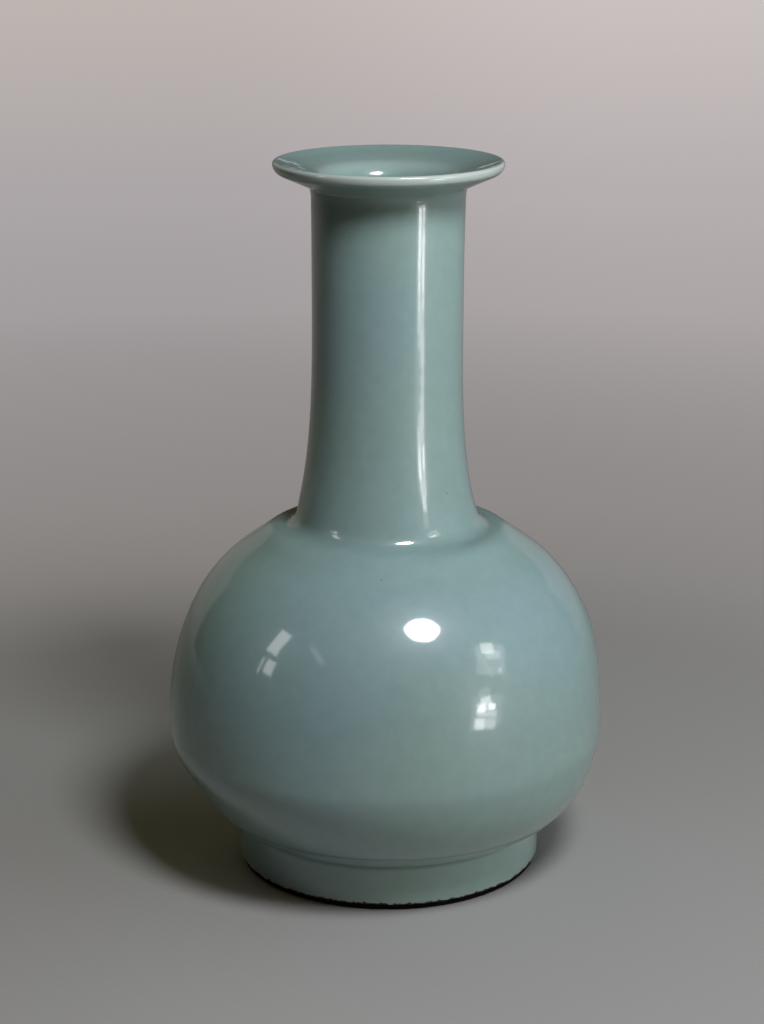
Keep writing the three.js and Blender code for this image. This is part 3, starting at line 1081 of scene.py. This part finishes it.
KEY = Lamp("key_softbox", 0.6, 30.5, 56.7, 17.5, 17.5, 0, 0)
SIDE = Lamp("side_reflector", 1.2, 96, 14, 56, 28, 0, 0)
LOW = Lamp("low_reflector", 1.2, 60, 5, 40, 30, 0, 0)
BACK = Lamp("back_reflector", 1.2, -150, 30, 46, 46, 0, 0)
KEY_TINT, SIDE_TINT, LOW_TINT, BACK_TINT = "#F3F7FF", "#DCF2FF", "#FFE9DF", "#F7FFCC"

SENSOR_WIDTH = 36.0  # mm, which the lens goes with
CLIP_START = 0.01

# Panes of the studio's windows and screens, by the point on the vase where their reflections lie
WINDOWS = (
    (ON_BODY_RIGHT, (
        Lamp("window_halo", 0.6, 53.1, -1.1, 19, 18, -12, 1.3),
        Lamp("window_low_left", 0.35, 48.6, -4.8, 6.3, 4.4, -12, 10),
        Lamp("window_low_right", 0.35, 55.5, -6.2, 6.3, 4.4, -12, 5),
        Lamp("window_middle", 0.6, 53.3, -1.5, 12, 2.6, -12, 6),
        Lamp("window_head_left", 0.6, 50.2, 2.5, 5.1, 3.8, -12, 13),
        Lamp("window_head_right", 0.6, 56.7, 1.6, 4.2, 3.2, -12, 13),
        Lamp("window_apex_wide", 1.5, 52.5, 1.4, 10, 3.0, 0, 6),
        Lamp("window_apex", 1.5, 53, 4.8, 6, 3.6, 0, 9),
        Lamp("window_veil", 1.5, 53, 9.5, 7, 5.5, 0, 1.8),
    )),
    (ON_SHOULDER_RIGHT, (
        Lamp("screen_core", 0.6, 64.9, 32, 7.5, 6.3, -25, 7),
        Lamp("screen_side", 0.6, 66, 26.9, 9.2, 5.7, -25, 3.5),
        Lamp("screen_veil", 0.6, 63.1, 24.9, 17.8, 18.3, -25, 1.9),
        Lamp("screen_bar", 0.6, 58.3, 23.4, 1.2, 18.5, 8, 2),
        Lamp("screen_spark", 0.6, 66, 17.3, 2, 2.5, -25, 5),
    )),
    (ON_DISH_LEFT, (
        Lamp("glint_left", 0.3, 176.5, 12.3, 0.4, 2.3, 0, 0.9),
        Lamp("glint_left_low", 0.3, 177.05, 8.0, 0.3, 2.0, 0, 0.9),
    )),
    (ON_DISH_RIGHT, (
        Lamp("glint_right", 0.3, -178.3, 6.3, 0.76, 1.5, 0, 0.9),
    )),
    (ON_SHOULDER_LEFT, (
        Lamp("card_tall", 0.6, -73, 32, 7.5, 15, 0, 5),
        Lamp("card_low", 0.6, -70, 17.5, 6, 8, 0, 4.5),
        Lamp("card_edge", 0.6, -76, 16.5, 1.5, 9, 0, 3.5),
        Lamp("card_faint", 0.6, -44, 35, 3, 13, 52, 1.3),
    )),
)


def lamp_size(lamp):
    return [2 * lamp.distance * math.tan(math.radians(span) / 2) for span in (lamp.across, lamp.up)]


def add_lamp(lamp, shape, seen_from, watts, tint="#FFFFFF"):
    """Hangs a lamp, hidden from the camera and aimed at the point that it is seen from."""
    light = bpy.data.lights.new(lamp.name, "AREA")
    light.shape = shape
    light.size, light.size_y = lamp_size(lamp)
    light.energy = watts
    light.color = linear(tint)[:3]
    holder = bpy.data.objects.new(lamp.name, light)
    turn, rise = math.radians(lamp.turn), math.radians(lamp.rise)
    level = math.cos(rise)
    towards = Vector((math.sin(turn) * level, -math.cos(turn) * level, math.sin(rise)))
    aim = towards.to_track_quat("Z", "Y").to_matrix() @ Matrix.Rotation(math.radians(lamp.roll), 3, "Z")
    holder.location = seen_from + towards * lamp.distance
    holder.rotation_euler = aim.to_euler()
    holder.visible_camera = False
    bpy.context.scene.collection.objects.link(holder)
    return holder


class VASE_OT_stage(bpy.types.Operator):
    """Lays the paper, hangs the lamps and sets up the camera"""

    bl_idname = "vase.stage"
    bl_label = "Stage"

    def execute(self, context):
        scene = context.scene
        stage, colours = scene.vase_stage, scene.vase_colours
        mesh = bmesh.new()
        bmesh.ops.create_circle(mesh, cap_ends=True, segments=PAPER_SEGMENTS, radius=stage.paper_radius)
        data = bpy.data.meshes.new("paper")
        mesh.to_mesh(data)
        mesh.free()
        data.materials.append(pale_paper(colours, stage))
        paper = bpy.data.objects.new("paper", data)
        scene.collection.objects.link(paper)
        add_lamp(KEY, "DISK", ON_BODY_FRONT, stage.key_power, KEY_TINT)
        for board, watts, tint in ((SIDE, stage.side_power, SIDE_TINT),
                                   (LOW, stage.low_power, LOW_TINT),
                                   (BACK, stage.back_power, BACK_TINT)):
            add_lamp(board, "RECTANGLE", ON_BODY_FRONT, watts, tint).visible_glossy = False
        for seen_from, panes in WINDOWS:
            for pane in panes:
                across, up = lamp_size(pane)
                watts = pane.glow * stage.window_glow * math.pi * across * up
                add_lamp(pane, "RECTANGLE", seen_from, watts).visible_diffuse = False
        scene.world = studio_world(colours)
        camera = bpy.data.cameras.new("camera")
        camera.lens = stage.lens
        camera.sensor_width = SENSOR_WIDTH
        camera.clip_start = CLIP_START
        holder = bpy.data.objects.new("camera", camera)
        holder.location = (stage.camera_side, -stage.camera_distance, stage.camera_height)
        holder.rotation_euler = (QUARTER_TURN - stage.camera_tilt, 0.0, 0.0)
        scene.collection.objects.link(holder)
        scene.camera = holder
        scene.view_settings.view_transform = "Standard"
        return {"FINISHED"}


class VASE_PT_panel(bpy.types.Panel):
    """Lists the steps that make the vase, in order"""

    bl_idname = "VASE_PT_panel"
    bl_label = "Celadon Vase"
    bl_space_type = "VIEW_3D"
    bl_region_type = "UI"
    bl_category = "Vase"

    def draw(self, context):
        for step in STEPS:
            self.layout.operator(step.bl_idname)


STEPS = (VASE_OT_foot_ring, VASE_OT_luting_slips, VASE_OT_thrown_sections, VASE_OT_outer_glaze,
         VASE_OT_inner_glaze, VASE_OT_base_glaze, VASE_OT_stage)


def register():
    for step in (*SETTINGS.values(), *STEPS, VASE_PT_panel):
        bpy.utils.register_class(step)
    for name, group in SETTINGS.items():
        setattr(bpy.types.Scene, name, PointerProperty(type=group))


def unregister():
    for name in SETTINGS:
        delattr(bpy.types.Scene, name)
    for step in reversed((*SETTINGS.values(), *STEPS, VASE_PT_panel)):
        bpy.utils.unregister_class(step)


def main():
    register()
    bpy.ops.vase.foot_ring()
    bpy.ops.vase.luting_slips()
    bpy.ops.vase.thrown_sections()
    bpy.ops.vase.outer_glaze()
    bpy.ops.vase.inner_glaze()
    bpy.ops.vase.base_glaze()
    bpy.ops.vase.stage()


if __name__ == "__main__":
    main()
